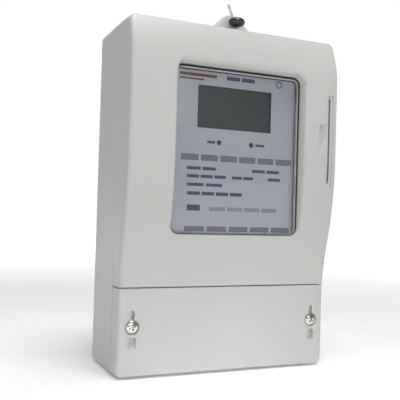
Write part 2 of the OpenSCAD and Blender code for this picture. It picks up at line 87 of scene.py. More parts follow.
# Case: walls, the two covers and the joint to the base
WALL = 2.5
HALF_W = tray_high.x
LOWER_Y = tray_low.y
BULGE = LOWER_Y - shell_low.y
TRAY_TOP = tray_high.z
SHELL_BOTTOM = TRAY_TOP + 0.55
SEAM = TRAY_TOP + 0.4
SPLIT = -43.0
TOP = mm("hanger")[1].z + 1.5
# Draft of the outline at the top and the bottom of the front
DROP = 1.0
# Corner radii of the outline, at the outside of the case and at the seam
CASE_R = 4
SEAM_R = 0.6
# Radius of the rounded edges at the left and the right of the front
EDGE_R = 2.4
# Sealing screws, window and card slot
SIDE_X = (screw_low.x + screw_high.x) / 2
SEAL_Z = (screw_low.z + screw_high.z) / 2
WIN_X = (lens_low.x + lens_high.x) / 2
WIN_Z = (lens_low.z + lens_high.z) / 2
WIN_W = (lens_high.x - lens_low.x) / 2 + 0.1
WIN_H = (lens_high.z - lens_low.z) / 2 + 0.1
WIN_R = 5
LENS_R = 4.9
SLOT_X = 63.9
SLOT_Z = 146.5
SLOT_HALF_W = 0.65
SLOT_HALF_H = 27.25

# Side profile of the front cover: a foot that steepens, a flank, a flat and a brow that leans back
FOOT = 27.0
FOOT_SLOPE = 0.14
FLANK_SLOPE = 0.245
SHOULDER_R = 2 * (BULGE - FOOT * (FOOT_SLOPE + FLANK_SLOPE) / 2) / FLANK_SLOPE ** 2
FLAT_Z = SEAM + FOOT + FLANK_SLOPE * SHOULDER_R
BROW_Z = TOP - 31
BROW_R = 60.0


def shell_y(x, z):
    """Front of the front cover."""
    if z < SEAM + FOOT:
        t = max(0.0, z - SEAM)
        out = t * (2 * FOOT_SLOPE + t / FOOT * (FLANK_SLOPE - FOOT_SLOPE)) / 2
    elif z < FLAT_Z:
        out = BULGE - (FLAT_Z - z) ** 2 / (2 * SHOULDER_R)
    elif z < BROW_Z:
        out = BULGE
    else:
        out = BULGE - (z - BROW_Z) ** 2 / (2 * BROW_R)
    return LOWER_Y - out


def tray_y(x, z):
    """Front of the terminal cover."""
    return LOWER_Y


# ---------------------------------------------------------------- materials
def ramp(nt, fac, low, high, start=0.35, end=0.65):
    n = nt.nodes.new("ShaderNodeValToRGB")
    n.color_ramp.elements[0].position = start
    n.color_ramp.elements[0].color = (*low, 1)
    n.color_ramp.elements[1].position = end
    n.color_ramp.elements[1].color = (*high, 1)
    nt.links.new(fac, n.inputs["Fac"])
    return n.outputs["Color"]


def noise(nt, vector, scale, detail=3.0, rough=0.5):
    n = nt.nodes.new("ShaderNodeTexNoise")
    n.inputs["Scale"].default_value = scale
    n.inputs["Detail"].default_value = detail
    n.inputs["Roughness"].default_value = rough
    nt.links.new(vector, n.inputs["Vector"])
    return n.outputs["Fac"]


def spread(nt, fac, low, high):
    n = nt.nodes.new("ShaderNodeMapRange")
    n.inputs["From Min"].default_value = 0.3
    n.inputs["From Max"].default_value = 0.7
    n.inputs["To Min"].default_value = low
    n.inputs["To Max"].default_value = high
    nt.links.new(fac, n.inputs["Value"])
    return n.outputs["Result"]


def surface(name, colour, rough, metal=0.0, tint=0.05, patch=25.0, grain=1500.0, relief=0.00002,
            streak=None, coat=0.0, soft=0.0, rub=0.06, **sockets):
    """Colour that wanders by tint over patches, a fine grain in relief, and roughness that wanders by rub.
    streak stretches the grain, soft rounds the edges in the shading, and sockets are set on the shader."""
    m = bpy.data.materials.new(name)
    m.use_nodes = True
    nt = m.node_tree
    b = nt.nodes["Principled BSDF"]
    tex = nt.nodes.new("ShaderNodeTexCoord")
    at = tex.outputs["Object"]
    if streak is not None:
        mapping = nt.nodes.new("ShaderNodeMapping")
        mapping.inputs["Scale"].default_value = streak
        nt.links.new(at, mapping.inputs["Vector"])
        grain_at = mapping.outputs["Vector"]
    else:
        grain_at = at
    dark = tuple(c * (1 - tint) for c in colour)
    light = tuple(min(1.0, c * (1 + tint)) for c in colour)
    nt.links.new(ramp(nt, noise(nt, at, patch, 4.0), dark, light), b.inputs["Base Color"])
    fine = noise(nt, grain_at, grain, 2.0)
    nt.links.new(spread(nt, noise(nt, grain_at, patch * 4, 5.0, 0.6), rough - rub, rough + rub),
                 b.inputs["Roughness"])
    bump = nt.nodes.new("ShaderNodeBump")
    bump.inputs["Strength"].default_value = 0.6
    bump.inputs["Distance"].default_value = relief
    nt.links.new(fine, bump.inputs["Height"])
    if soft:
        round_edge = nt.nodes.new("ShaderNodeBevel")
        round_edge.samples = 4
        round_edge.inputs["Radius"].default_value = soft
        nt.links.new(round_edge.outputs["Normal"], bump.inputs["Normal"])
    nt.links.new(bump.outputs["Normal"], b.inputs["Normal"])
    b.inputs["Metallic"].default_value = metal
    b.inputs["Coat Weight"].default_value = coat
    for key, value in sockets.items():
        b.inputs[key.replace("_", " ")].default_value = value
    return m


CASE = (0.55, 0.548, 0.534)
MATS = {
    "case_plastic": surface("case_plastic", CASE, 0.40, tint=0.02, patch=14, grain=1900, relief=0.000018,
                            soft=0.0005),
    # A paler copy of the case plastic for the seal lug: painted light on a face that the bead shades
    "lug_plastic_painted_light": surface("lug_plastic_painted_light", (0.68, 0.675, 0.665), 0.4, tint=0.02, patch=30, grain=1900,
                           relief=0.000018, soft=0.0003),
    "gasket_rubber": surface("gasket_rubber", (0.03, 0.03, 0.032), 0.8, grain=900, relief=0.00006),
    "seal_plastic": surface("seal_plastic", (0.016, 0.020, 0.021), 0.3, grain=400, relief=0.00001, coat=0.25),
    "steel_wire": surface("steel_wire", (0.60, 0.60, 0.58), 0.45, metal=0.6, tint=0.15, patch=300,
                          grain=2500),
    "nickel": surface("nickel", (0.74, 0.72, 0.69), 0.24, metal=1.0, tint=0.08, patch=220, grain=2600,
                      relief=0.000006),
    "zinc_steel": surface("zinc_steel", (0.56, 0.58, 0.60), 0.36, metal=1.0, tint=0.12, patch=160, grain=900,
                          streak=(1, 1, 0.2), soft=0.0003),
    "brass": surface("brass", (0.72, 0.53, 0.24), 0.3, metal=1.0, tint=0.1, patch=140, grain=1800,
                     streak=(1, 0.1, 1), soft=0.0002),
    "nameplate_metal": surface("nameplate_metal", (0.50, 0.525, 0.572), 0.42, metal=0.3, tint=0.06, patch=11,
                               grain=2600, relief=0.000006, streak=(0.06, 1, 1)),
    "black_plastic": surface("black_plastic", (0.025, 0.025, 0.028), 0.5, tint=0.15, grain=1400, soft=0.0003),
    "display": surface("display", (0.026, 0.038, 0.031), 0.3, tint=0.03, patch=32, grain=60, relief=0.000004,
                       rub=0.02),
    "backlight": surface("backlight", (0.72, 0.76, 0.70), 0.35, grain=1800),
    "lamp_red": surface("lamp_red", (0.025, 0.012, 0.012), 0.2, tint=0.2, patch=400, grain=700, coat=0.5),
    "board": surface("board", (0.02, 0.14, 0.06), 0.34, tint=0.35, patch=420, grain=700, relief=0.00002,
                     soft=0.0002),
    "chip": surface("chip", (0.018, 0.018, 0.018), 0.55, tint=0.2, grain=2200, soft=0.0002),
    "crystal_can": surface("crystal_can", (0.62, 0.62, 0.63), 0.25, metal=1.0, grain=1400, soft=0.0003),
    "iron_core": surface("iron_core", (0.07, 0.07, 0.075), 0.5, metal=0.4, tint=0.25, patch=200, grain=1400,
                         streak=(0.05, 0.05, 1), relief=0.00008),
    "winding_tape": surface("winding_tape", (0.62, 0.42, 0.06), 0.3, tint=0.15, patch=120, grain=700,
                            streak=(0.2, 0.2, 1), relief=0.00004),
    "capacitor_sleeve": surface("capacitor_sleeve", (0.02, 0.025, 0.07), 0.25, tint=0.2, grain=500, coat=0.3),
    "varistor_coat": surface("varistor_coat", (0.05, 0.14, 0.42), 0.4, tint=0.15, patch=200, grain=700,
                             soft=0.0008),
    "white_plastic": surface("white_plastic", (0.74, 0.74, 0.71), 0.45, grain=1500, soft=0.0002),
    "cell_wrap": surface("cell_wrap", (0.06, 0.24, 0.10), 0.25, tint=0.15, grain=500, coat=0.4),
    "ribbon": surface("ribbon", (0.34, 0.34, 0.36), 0.45, tint=0.3, patch=800, grain=800,
                      streak=(1, 0.02, 1)),
    "contact": surface("contact", (0.85, 0.62, 0.22), 0.22, metal=1.0, grain=1800),
    "relay_case": surface("relay_case", (0.02, 0.03, 0.07), 0.3, tint=0.2, grain=1200, soft=0.0005),
    "coil_case": surface("coil_case", (0.03, 0.06, 0.22), 0.35, tint=0.2, grain=1200, soft=0.0005),
    "copper": surface("copper", (0.70, 0.34, 0.20), 0.33, metal=1.0, tint=0.18, patch=90, grain=1500,
                      streak=(1, 1, 0.1), soft=0.0002),
    "block_plastic": surface("block_plastic", (0.03, 0.03, 0.032), 0.48, tint=0.2, grain=1600, soft=0.0004),
    "green_plastic": surface("green_plastic", (0.03, 0.18, 0.07), 0.42, tint=0.12, grain=1500, soft=0.0003),
    "label_film": surface("label_film", (0.74, 0.74, 0.69), 0.5, tint=0.03, grain=700),
    "print_navy": surface("print_navy", (0.035, 0.045, 0.115), 0.5, tint=0.1, patch=60, grain=1400),
    "print_red": surface("print_red", (0.16, 0.022, 0.035), 0.5, tint=0.1, patch=60, grain=1400),
    "print_soft": surface("print_soft", (0.15, 0.165, 0.22), 0.5, tint=0.08, patch=60, grain=1400),
    "print_grey": surface("print_grey", (0.27, 0.28, 0.31), 0.5, tint=0.1, patch=60, grain=1400),
    # Paler, less clear plastic for the painted highlight on the lens's edge
    "lens_edge_painted_highlight": surface("lens_edge_painted_highlight", (0.52, 0.54, 0.57), 0.2, tint=0.05, patch=12, grain=300,
                         relief=0.00001, Alpha=0.8),
    # Black for the painted shade around the lens
    "painted_shade_black": surface("painted_shade_black", (0.012, 0.012, 0.014), 0.6, tint=0.2, grain=900, relief=0.00003),
    "clear_plastic": surface("clear_plastic", (0.20, 0.22, 0.25), 0.08, tint=0.05, patch=2, grain=5,
                             relief=0.000004, rub=0.005, Alpha=0.10, IOR=1.9),
}
for part in frame["record"]["subparts"]:
    node = frame["nodes"][part["node"]]
    node.data.materials.clear()
    node.data.materials.append(MATS[part["material_slot"]])


# ---------------------------------------------------------------- mesh tools
def rounded(x0, z0, x1, z1, radii, grow=0.0, step=3.0, arc=8, spans=None):
    """Closed outline, counter-clockwise seen from the front, as (x, z, normal x, normal z). radii: top right,
    top left, bottom left, bottom right. Its points match one to one whatever the grow."""
    corners = [(x1, z1, -1, -1, 0), (x0, z1, 1, -1, 90), (x0, z0, 1, 1, 180), (x1, z0, -1, 1, 270)]
    spans = list(spans or (max(1, round((x1 - x0) / step)), max(1, round((z1 - z0) / step)))) * 2
    out = []
    ends = []
    for (cx, cz, sx, sz, a0), r in zip(corners, radii):
        mx, mz = cx + sx * r, cz + sz * r
        turn = []
        for k in range(arc + 1):
            a = math.radians(a0 + 90 * k / arc)
            n = (math.cos(a), math.sin(a))
            turn.append((mx + (r + grow) * n[0], mz + (r + grow) * n[1], *n))
        ends.append(turn)
    for i, turn in enumerate(ends):
        out += turn
        after = ends[(i + 1) % 4][0]
        last = turn[-1]
        for k in range(1, spans[i]):
            t = k / spans[i]
            x = last[0] + (after[0] - last[0]) * t
            z = last[1] + (after[1] - last[1]) * t
            out.append((x, z, last[2], last[3]))
    return out


def with_normals(points):
    """Adds outward normals to a counter-clockwise list of (x, z)."""
    out = []
    n = len(points)
    for i, (x, z) in enumerate(points):
        ax, az = points[i - 1]
        bx, bz = points[(i + 1) % n]
        u = Vector((bz - az, ax - bx)).normalized()
        out.append((x, z, u.x, u.y))
    return out


def grown(points, grow):
    """The outline moved outward by grow."""
    return [(x + nx * grow, z + nz * grow, nx, nz) for x, z, nx, nz in points]


def inside(px, pz, poly):
    """Which of the points lie inside the closed outline."""
    hit = np.zeros(len(px), bool)
    n = len(poly)
    for i in range(n):
        x0, z0 = poly[i - 1]
        x1, z1 = poly[i]
        if z0 == z1:
            continue
        cross = (z0 > pz) != (z1 > pz)
        hit ^= cross & (px < (x1 - x0) * (pz - z0) / (z1 - z0) + x0)
    return hit


class Builder:
    """Collects the corners and faces of one piece, in layout millimetres."""

    def __init__(self):
        self.v = []
        self.f = []

    def loop(self, points):
        """Adds corners and returns their numbers."""
        start = len(self.v)
        self.v += [tuple(p) for p in points]
        return list(range(start, len(self.v)))

    def bridge(self, a, b):
        n = len(a)
        assert n == len(b), (n, len(b))
        for i in range(n):
            j = (i + 1) % n
            self.f.append((a[i], a[j], b[j], b[i]))

    def chain(self, loops):
        for a, b in zip(loops, loops[1:]):
            self.bridge(a, b)

    def patch(self, outer, holes, depth, step=2.5):
        """Fills between the outer loop and the holes with a dense sheet whose Y is depth(x, z)."""
        rings = [outer, *holes]
        ids = [i for r in rings for i in r]
        flat = [Vector((self.v[i][0], self.v[i][2])) for i in ids]
        edges = []
        at = 0
        polys = []
        for r in rings:
            n = len(r)
            edges += [(at + k, at + (k + 1) % n) for k in range(n)]
            polys.append([(self.v[i][0], self.v[i][2]) for i in r])
            at += n
        low = np.min([p[:] for p in flat], axis=0)
        high = np.max([p[:] for p in flat], axis=0)
        gx, gz = np.meshgrid(np.arange(low[0] + step / 2, high[0], step),
                             np.arange(low[1] + step / 2, high[1], step))
        px, pz = gx.ravel(), gz.ravel()
        keep = inside(px, pz, polys[0])
        for hole in polys[1:]:
            keep &= ~inside(px, pz, hole)
        rim = np.array([p[:] for p in flat])
        near = np.sqrt(((np.stack([px, pz], 1)[:, None, :] - rim[None]) ** 2).sum(2)).min(1)
        keep &= near > 0.5 * step
        extra = [Vector((float(a), float(b))) for a, b in zip(px[keep], pz[keep])]
        pts, _, faces, orig, _, _ = delaunay_2d_cdt(flat + extra, edges, [], 0, 1e-6)
        back = {}
        for k, source in enumerate(orig):
            rims = [s for s in source if s < len(ids)]
            if rims:
                back[k] = ids[rims[0]]
        for face in faces:
            cx = sum(pts[k][0] for k in face) / len(face)
            cz = sum(pts[k][1] for k in face) / len(face)
            c = (np.array([cx]), np.array([cz]))
            if not inside(*c, polys[0])[0] or any(inside(*c, h)[0] for h in polys[1:]):
                continue
            for k in face:
                if k not in back:
                    x, z = pts[k]
                    back[k] = self.loop([(x, depth(x, z), z)])[0]
            self.f.append(tuple(back[k] for k in face))

    def block(self, x0, y0, z0, x1, y1, z1):
        a = self.loop([(x0, y0, z0), (x1, y0, z0), (x1, y0, z1), (x0, y0, z1)])
        b = self.loop([(x0, y1, z0), (x1, y1, z0), (x1, y1, z1), (x0, y1, z1)])
        self.bridge(a, b)
        self.f += [tuple(a), tuple(reversed(b))]

    def caps(self, loops):
        """A chain of loops closed at both ends."""
        ids = [self.loop(points) for points in loops]
        self.chain(ids)
        self.f += [tuple(ids[0]), tuple(reversed(ids[-1]))]

    def build(self, name):
        """An object with its doubled corners merged and its faces turned outward."""
        mesh = bpy.data.meshes.new(name)
        mesh.from_pydata([co(*p) for p in self.v], [], self.f)
        tidy_faces(mesh, merge=True)
        return bpy.data.objects.new(name, mesh)

    def make(self, name, material, body, replaces=(), smooth=35):
        obj = self.build(name)
        shade(obj.data, smooth)
        return place(obj, material, body, replaces)


def tidy_faces(mesh, merge=False):
    bm = bmesh.new()
    bm.from_mesh(mesh)
    if merge:
        bmesh.ops.remove_doubles(bm, verts=bm.verts, dist=1e-7)
    bmesh.ops.recalc_face_normals(bm, faces=bm.faces)
    bm.to_mesh(mesh)
    bm.free()


def shade(mesh, smooth=None):
    """Smooth shading, with sharp edges from the angle smooth on, in degrees."""
    mesh.polygons.foreach_set("use_smooth", [True] * len(mesh.polygons))
    if smooth is not None:
        mesh.set_sharp_from_angle(angle=math.radians(smooth))


def linked(obj):
    bpy.context.scene.collection.objects.link(obj)
    return obj


def place(obj, material, body, replaces=()):
    """Gives a piece its material, the body it rides on and the nodes that it replaces."""
    if obj.name not in bpy.context.scene.objects:
        linked(obj)
    obj.data.materials.clear()
    obj.data.materials.append(MATS[material])
    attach(obj, body)
    if replaces:
        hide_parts(*replaces)
    return obj


def lathe(profile, around, axis="Y", n=64):
    """Loops of (radius, along) turned about an axis through the point around; along lies on the axis."""
    loops = []
    for r, t in profile:
        ring = []
        for k in range(n):
            a = 2 * math.pi * k / n
            c, s = r * math.cos(a), r * math.sin(a)
            if axis == "Y":
                ring.append((around[0] + c, t, around[2] + s))
            else:
                ring.append((around[0] + c, around[1] + s, t))
        loops.append(ring)
    return loops


def edge_loops(b, outline, radius, top, depth, steps=6):
    """Loops of a rounded outer edge, from the front sheet's rim out to the side."""
    loops = []
    for k in range(steps + 1):
        a = math.pi / 2 * k / steps
        pts = []
        for x, z, nx, nz in outline:
            r = radius(nx, nz)
            inset = r * (1 - math.sin(a))
            px, pz = x - nx * inset, z - nz * inset
            pts.append((px, depth(px, min(pz, top)) + r * (1 - math.cos(a)), pz))
        loops.append(b.loop(pts))
    return loops


# ---------------------------------------------------------------- front cover
b = Builder()
SHELL_RADII = (CASE_R, CASE_R, SEAM_R, SEAM_R)
SHELL_SPANS = (56, 64)
CHAMFER = 0.3
RIM_DEPTH = 8


def shell_radius(nx, nz):
    return EDGE_R * nx * nx + (1.2 if nz > 0 else 0.5) * nz * nz


front_rim = rounded(-HALF_W, SHELL_BOTTOM, HALF_W, TOP - DROP, SHELL_RADII, spans=SHELL_SPANS)
back_rim = rounded(-HALF_W, SHELL_BOTTOM, HALF_W, TOP, SHELL_RADII, spans=SHELL_SPANS)
outer = edge_loops(b, front_rim, shell_radius, TOP, shell_y)
sides = [outer[-1]]
start = [b.v[i][1] for i in outer[-1]]
for t in (0.35, 0.7):
    between = []
    for (x0, z0, _, _), (x1, z1, _, _), y in zip(front_rim, back_rim, start):
        between.append((x0 + (x1 - x0) * t, y + (SPLIT - CHAMFER - y) * t, z0 + (z1 - z0) * t))
    sides.append(b.loop(between))
sides.append(b.loop([(x, SPLIT - CHAMFER, z) for x, z, _, _ in back_rim]))
for inset, y in ((CHAMFER, SPLIT), (WALL, SPLIT), (WALL, SPLIT - RIM_DEPTH)):
    sides.append(b.loop([(x - nx * inset, y, z - nz * inset) for x, z, nx, nz in back_rim]))
b.chain(outer)
b.chain(sides)


# The window's mouth flares to the right and to the top, and the lens rests on a ledge behind it
FLARE_RIGHT = 2.2
FLARE_TOP = 2.5
LEDGE = 1.6
LEDGE_BACK = -58.5
# The roll of the lip: how far it stands outside the window, its depth, and its share of the flare
LIP = ((1.5, 0, 1), (1.2, 0.04, 0.98), (0.9, 0.14, 0.95), (0.6, 0.32, 0.9), (0.34, 0.58, 0.84),
       (0.14, 0.95, 0.76), (0.03, 1.35, 0.67), (0, 1.9, 0.57))


def window_loop(grow, y=None, depth=0.0, flare=0.0):
    """The window's outline at the given Y, or at a depth below the front."""
    low = (WIN_X - WIN_W, WIN_Z - WIN_H)
    high = (WIN_X + WIN_W, WIN_Z + WIN_H)
    pts = []
    for x, z, nx, nz in rounded(*low, *high, (WIN_R,) * 4, grow, step=3):
        x += nx * flare * FLARE_RIGHT * max(0, nx)
        z += nz * flare * FLARE_TOP * max(0, nz)
        pts.append((x, shell_y(x, z) + depth if y is None else y, z))
    return b.loop(pts)


lip = [window_loop(grow, depth=depth, flare=flare) for grow, depth, flare in LIP]
ledge = [window_loop(0, y=lens_high.y), window_loop(-LEDGE, y=lens_high.y), window_loop(-LEDGE, y=LEDGE_BACK)]
b.chain(lip + ledge)

# Card recess with its thumb relief, and the slot in its floor
RELIEF = 0.6
THUMB_RELIEF = 0.9
SLOT_FLOOR = -62.5
RECESS_HALF_H = 29.1
recess_left, recess_right = SLOT_X - 1.8, SLOT_X + 2.5
recess_low, recess_high = SLOT_Z - RECESS_HALF_H, SLOT_Z + RECESS_HALF_H
thumb_left = SLOT_X - 7.4
thumb_low, thumb_high = 135.7, 157.1
recess = [(recess_left, recess_low), (recess_right, recess_low), (recess_right, recess_high),
          (recess_left, recess_high), (recess_left, thumb_high), (thumb_left, thumb_high),
          (thumb_left, thumb_low), (recess_left, thumb_low)]
ridge = ((SLOT_X - 6.2, 139.4), (SLOT_X - 2.0, 144.6))


def recess_y(x, z):
    """Floor of the recess; the thumb relief deepens above a slanting ridge."""
    (ax, az), (bx, bz) = ridge
    beyond = ((bx - ax) * (z - az) - (bz - az) * (x - ax)) / math.hypot(bx - ax, bz - az)
    extra = 0.0
    if x < bx and z < thumb_high - 0.1:
        extra = THUMB_RELIEF * min(1.0, max(0.0, beyond / 1.2))
    return shell_y(x, z) + RELIEF + extra


def dense(points, step):
    """The closed outline with points no more than about step apart."""
    out = []
    for (x0, z0), (x1, z1) in zip(points, points[1:] + points[:1]):
        n = max(1, round(math.hypot(x1 - x0, z1 - z0) / step))
        out += [(x0 + (x1 - x0) * k / n, z0 + (z1 - z0) * k / n) for k in range(n)]
    return out


recess_rim = with_normals(dense(recess, 2.0))
recess_field, recess_lip = [b.loop([(x, shell_y(x, z), z) for x, z, _, _ in grown(recess_rim, grow)])
                            for grow in (0.7, 0.15)]
recess_mid = b.loop([(x, shell_y(x, z) + 0.15, z) for x, z, _, _ in recess_rim])
recess_floor = b.loop([(x, recess_y(x, z), z) for x, z, _, _ in recess_rim])
b.chain([recess_field, recess_lip, recess_mid, recess_floor])
slot = rounded(SLOT_X - SLOT_HALF_W, SLOT_Z - SLOT_HALF_H, SLOT_X + SLOT_HALF_W, SLOT_Z + SLOT_HALF_H,
               (0.3,) * 4, step=2.5, arc=2)
slot_rim = b.loop([(x, recess_y(x, z), z) for x, z, _, _ in grown(slot, 0.12)])
slot_in = b.loop([(x, recess_y(x, z) + 0.15, z) for x, z, _, _ in slot])
slot_deep = b.loop([(x, SLOT_FLOOR, z) for x, z, _, _ in slot])
b.chain([slot_rim, slot_in, slot_deep])
b.patch(recess_floor, [slot_rim], recess_y, step=1.2)
b.patch(outer[0], [lip[0], recess_field], shell_y, step=2.4)

# Tabs for the cover screws, behind the terminal cover
TAB_X = 54.5
TAB_HALF_W = 4.5
TAB_LOW = 41.7
for side in (-1, 1):
    cx = side * TAB_X
    b.block(cx - TAB_HALF_W, SPLIT - WALL, TAB_LOW, cx + TAB_HALF_W, SPLIT, SHELL_BOTTOM + 1)
b.make("front_cover_shell", "case_plastic", "case", ["front_cover"], smooth=28)

# Seal lug on the top edge, in a paler copy of the case plastic: painted light that brightens the face which
# the bead shades
b = Builder()
LUG_FRONT = -50
LUG_BACK = -47
half_foot, half_tip, height = 15.5, 3.5, shell_high.z - TOP
lug = [(half_foot, -3), (half_foot, 0), (half_tip + 1.5, height - 1.2), (half_tip - 1, height),
       (1 - half_tip, height), (-half_tip - 1.5, height - 1.2), (-half_foot, 0), (-half_foot, -3)]
lug = with_normals(dense([(x, TOP - 0.6 + z if z < 1 else TOP + z) for x, z in lug], 1.5))
rounds = [(0.45, 0.0), (0.2, 0.1), (0.05, 0.25), (0.0, 0.45)]
front_loops = [b.loop([(x, LUG_FRONT + d, z) for x, z, _, _ in grown(lug, -g)]) for g, d in rounds]
back_loops = [b.loop([(x, LUG_BACK - d, z) for x, z, _, _ in grown(lug, -g)]) for g, d in reversed(rounds)]
b.chain(front_loops + back_loops)
b.patch(front_loops[0], [], lambda x, z: LUG_FRONT, step=2)
b.patch(back_loops[-1], [], lambda x, z: LUG_BACK, step=2)
b.make("sealing_lug", "lug_plastic_painted_light", "case")

# ---------------------------------------------------------------- window lens
b = Builder()


def lens_loop(grow, y):
    pts = rounded(lens_low.x, lens_low.z, lens_high.x, lens_high.z, (LENS_R,) * 4, grow, step=4)
    return b.loop([(x, y, z) for x, z, _, _ in pts])


lens = [lens_loop(g, y) for g, y in ((-0.75, lens_low.y), (-0.45, lens_low.y + 0.1), (0, lens_low.y + 0.55),
                                     (0, lens_high.y - 0.2), (-0.2, lens_high.y))]
b.chain(lens)
edge_faces = len(b.f)
b.patch(lens[0], [], lambda x, z: lens_low.y, step=6)
b.patch(lens[-1], [], lambda x, z: lens_high.y, step=6)
# The edge of the pane has a paler, less clear material of its own: a painted highlight where it catches the
# light
pane = b.make("window_pane", "clear_plastic", "case", ["window_lens"])
pane.data.materials.append(MATS["lens_edge_painted_highlight"])
for face in pane.data.polygons[:edge_faces]:
    face.material_index = 1


def lens_ring(name, material, start, end, y, crown=0.0):
    """Flat or crowned ring on the lens, wider towards the right and the top by the share in start and end,
    where the window's walls throw their shade; the rings are painted shade and a painted highlight.
    """
    b = Builder()
    loops = []
    for k in range(5):
        t = k / 4
        pts = rounded(lens_low.x, lens_low.z, lens_high.x, lens_high.z, (LENS_R,) * 4, 0, step=4)
        ring = []
        for x, z, nx, nz in pts:
            wide = 1 + 1.4 * max(0, nx) ** 2 + 1.6 * max(0, nz) ** 2
            inset = (start + (end - start) * t) * wide
            ring.append((x - nx * inset, y - crown * math.sin(math.pi * t), z - nz * inset))
        loops.append(b.loop(ring))
    b.chain(loops)
    b.make(name, material, "case")


# Painted shade: dark rings in front of and behind the lens, widest where the window's top and right walls
# shade it
lens_ring("lens_front_painted_shade", "painted_shade_black", -0.05, 0.42, lens_low.y - 0.03, 0.3)
# Painted highlight: a pale ring along the lens's edge, between the painted shade
lens_ring("lens_painted_highlight", "lens_edge_painted_highlight", 0.44, 0.66, lens_low.y - 0.03, 0.06)
lens_ring("lens_back_painted_shade", "painted_shade_black", 0.68, 0.9, lens_high.y - 0.05)

# ---------------------------------------------------------------- terminal cover
b = Builder()
TRAY_WALL = 2.2
TRAY_BACK = tray_high.y
TRAY_RADII = (SEAM_R, SEAM_R, CASE_R, CASE_R)
TRAY_SPANS = (46, 17)
# The top wall is cut back so that it clears the tabs of the front cover
TOP_WALL_BACK = -46.5
FACE_IN = LOWER_Y + TRAY_WALL
# Floor of the counterbore under the screw's head
SEAT = -53.0
HOLE_R = 4.3
# Slit above the hole: half its width, where it starts and ends, and the centre of its round top
SLIT_HALF = 1.1
SLIT_LOW = 6
SLIT_HIGH = 7.3
SLIT_TOP = 8.3
# Lever pocket below the hole, deepening towards its top
POCKET_HALF = 2.2
POCKET_LOW = -12.7
POCKET_HIGH = -6.2
POCKET_START = 0.35
POCKET_DEPTH = 4.3
POCKET_STEEP = 1.7
# Pad inside the face that backs the slit and the pocket
PAD_HALF_W = 5.6
PAD_DEPTH = 2.6
PAD_LOW = 14
PAD_HIGH = 42


def tray_radius(nx, nz):
    return EDGE_R * nx * nx + (0.45 if nz > 0 else 2.0) * nz * nz


def tray_back_y(x, z):
    return TOP_WALL_BACK if z > TRAY_TOP - 0.1 and abs(x) < HALF_W - 2.3 else TRAY_BACK


tray_front = rounded(-HALF_W, DROP, HALF_W, TRAY_TOP, TRAY_RADII, spans=TRAY_SPANS)
tray_rear = rounded(-HALF_W, 0, HALF_W, TRAY_TOP, TRAY_RADII, spans=TRAY_SPANS)
outer = edge_loops(b, tray_front, tray_radius, TRAY_TOP, tray_y)
rims = []
for inset, shift in ((0, -CHAMFER), (CHAMFER, 0), (TRAY_WALL, 0)):
    rims.append(b.loop([(x - nx * inset, tray_back_y(x, z) + shift, z - nz * inset)
                        for x, z, nx, nz in tray_rear]))
inner_rim = b.loop([(x - nx * TRAY_WALL, FACE_IN, z - nz * TRAY_WALL) for x, z, nx, nz in tray_front])
b.chain([*outer, *rims, inner_rim])
front_holes = []
for side in (-1, 1):
    cx = side * SIDE_X
    a0 = math.asin(SLIT_HALF / HOLE_R)
    ring = [(cx + HOLE_R * math.cos(a), SEAL_Z + HOLE_R * math.sin(a)) for a in
            np.linspace(math.pi / 2 + a0, 5 * math.pi / 2 - a0, 49)]
    ring += [(cx + SLIT_HALF, SEAL_Z + SLIT_LOW), (cx + SLIT_HALF, SEAL_Z + SLIT_HIGH)]
    ring += [(cx + SLIT_HALF * math.cos(a), SEAL_Z + SLIT_TOP + SLIT_HALF * math.sin(a))
             for a in np.linspace(0, math.pi, 9)]
    ring += [(cx - SLIT_HALF, SEAL_Z + SLIT_HIGH), (cx - SLIT_HALF, SEAL_Z + SLIT_LOW)]
    hole = with_normals(ring)
    loops = [b.loop([(x, LOWER_Y + d, z) for x, z, _, _ in grown(hole, g)])
             for g, d in ((0.2, 0), (0.08, 0.05), (0, 0.2))]
    loops.append(b.loop([(x, SEAT, z) for x, z, _, _ in hole]))
    b.chain(loops)
    b.patch(loops[-1], [], lambda x, z: SEAT, step=1.5)
    front_holes.append(loops[0])
    low, high = SEAL_Z + POCKET_LOW, SEAL_Z + POCKET_HIGH

    def ramp_y(x, z, low=low, high=high):
        share = min(1.0, max(0.0, POCKET_STEEP * (z - low) / (high - low)))
        return LOWER_Y + POCKET_START + POCKET_DEPTH * share

    pocket = rounded(cx - POCKET_HALF, low, cx + POCKET_HALF, high, (0.5,) * 4, step=1, arc=4)
    loops = [b.loop([(x, LOWER_Y + d, z) for x, z, _, _ in grown(pocket, g)])
             for g, d in ((0.25, 0), (0.1, 0.06), (0, 0.3))]
    loops.append(b.loop([(x, ramp_y(x, z), z) for x, z, _, _ in pocket]))
    b.chain(loops)
    b.patch(loops[-1], [], ramp_y, step=1)
    front_holes.append(loops[0])
    # Boss behind the screw, seen when the cover is off
    boss_end = -49
    boss_profile = [(6.2, FACE_IN - 0.1), (6.2, boss_end - CHAMFER), (6.2 - CHAMFER, boss_end),
                    (2.3, boss_end), (2.3, SEAT - 0.1)]
    b.chain([b.loop(r) for r in lathe(boss_profile, (cx, 0, SEAL_Z))])
    b.block(cx - PAD_HALF_W, FACE_IN - 0.1, PAD_LOW, cx + PAD_HALF_W, FACE_IN + PAD_DEPTH, PAD_HIGH)
b.patch(outer[0], front_holes, tray_y, step=3)
b.patch(inner_rim, [], lambda x, z: FACE_IN, step=6)
b.make("terminal_cover_shell", "case_plastic", "terminal_cover", ["terminal_cover"])

# ---------------------------------------------------------------- sealing screws
HEAD_R = 4.0
DOME = 1.75
SHANK_R = 2.0
ROOT_R = 1.68
THREAD_PITCH = 0.7
# The waist of the shank, where the captive washer sits, and the thread with its pointed end
WAIST = ((SHANK_R, -50.2), (1.6, -49.9), (1.6, -47.1))
THREAD_START = -46.9
THREAD_END = -41.2
TIP = ((1.9, -41), (1.2, -40.5))
